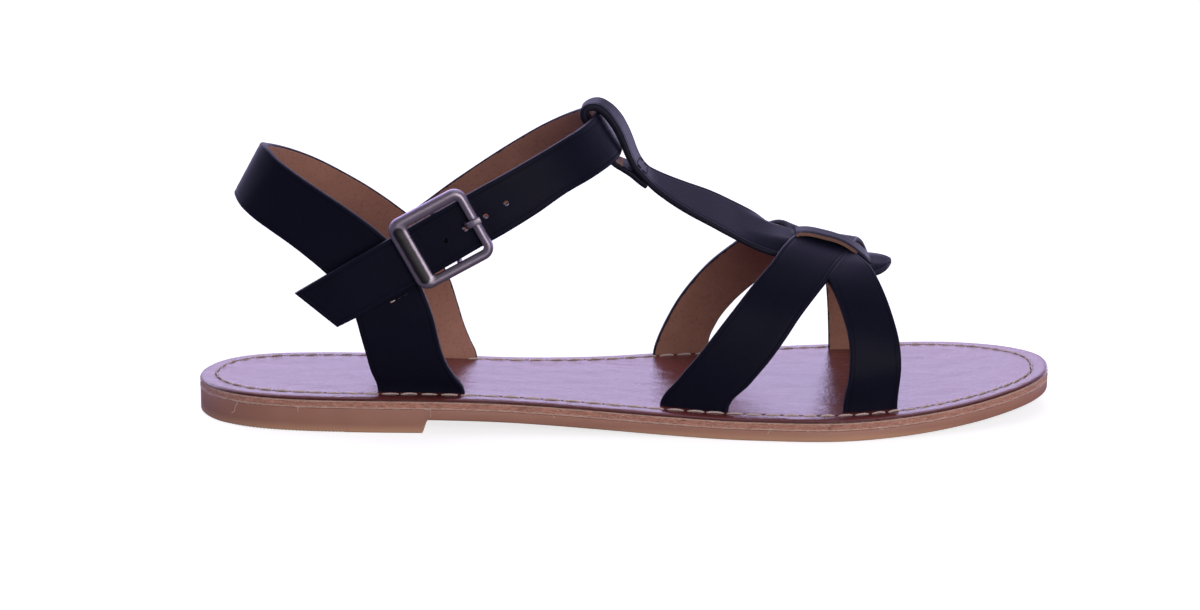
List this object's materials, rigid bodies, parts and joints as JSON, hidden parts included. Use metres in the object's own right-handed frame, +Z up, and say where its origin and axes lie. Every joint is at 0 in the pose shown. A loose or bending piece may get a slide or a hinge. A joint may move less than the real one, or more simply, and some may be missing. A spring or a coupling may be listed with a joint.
{
  "type": "t-strap sandal",
  "caption": "Flat right-foot t-strap sandal with straps woven at the vamp, an ankle strap looped through the t-strap and buckled at the outer side, and a low-heeled sole.",
  "frame": {"origin": "on the floor, under the middle of the sole's length and width", "axes": "+X towards the toe, +Y towards the inner side of the foot, +Z up"},
  "size_m": [0.25, 0.0896, 0.0922],
  "materials": {
    "outsole_rubber": "matt tan moulded rubber",
    "midsole_board": "raw fibrous edge of leather board",
    "insole_leather": "glossy reddish-brown leather",
    "strap_leather": "smooth blue-black leather with a brown lining",
    "buckle_metal": "satin gunmetal plating"
  },
  "bodies": {
    "root": {"outsole": "outsole_rubber", "midsole": "midsole_board", "insole": "insole_leather", "upper_front_straps": "strap_leather", "upper_heel_strap": "strap_leather", "upper_ankle_strap": "strap_leather", "buckle_strap": "strap_leather", "buckle_frame": "buckle_metal", "buckle_prong": "buckle_metal"}
  },
  "joints": []
}
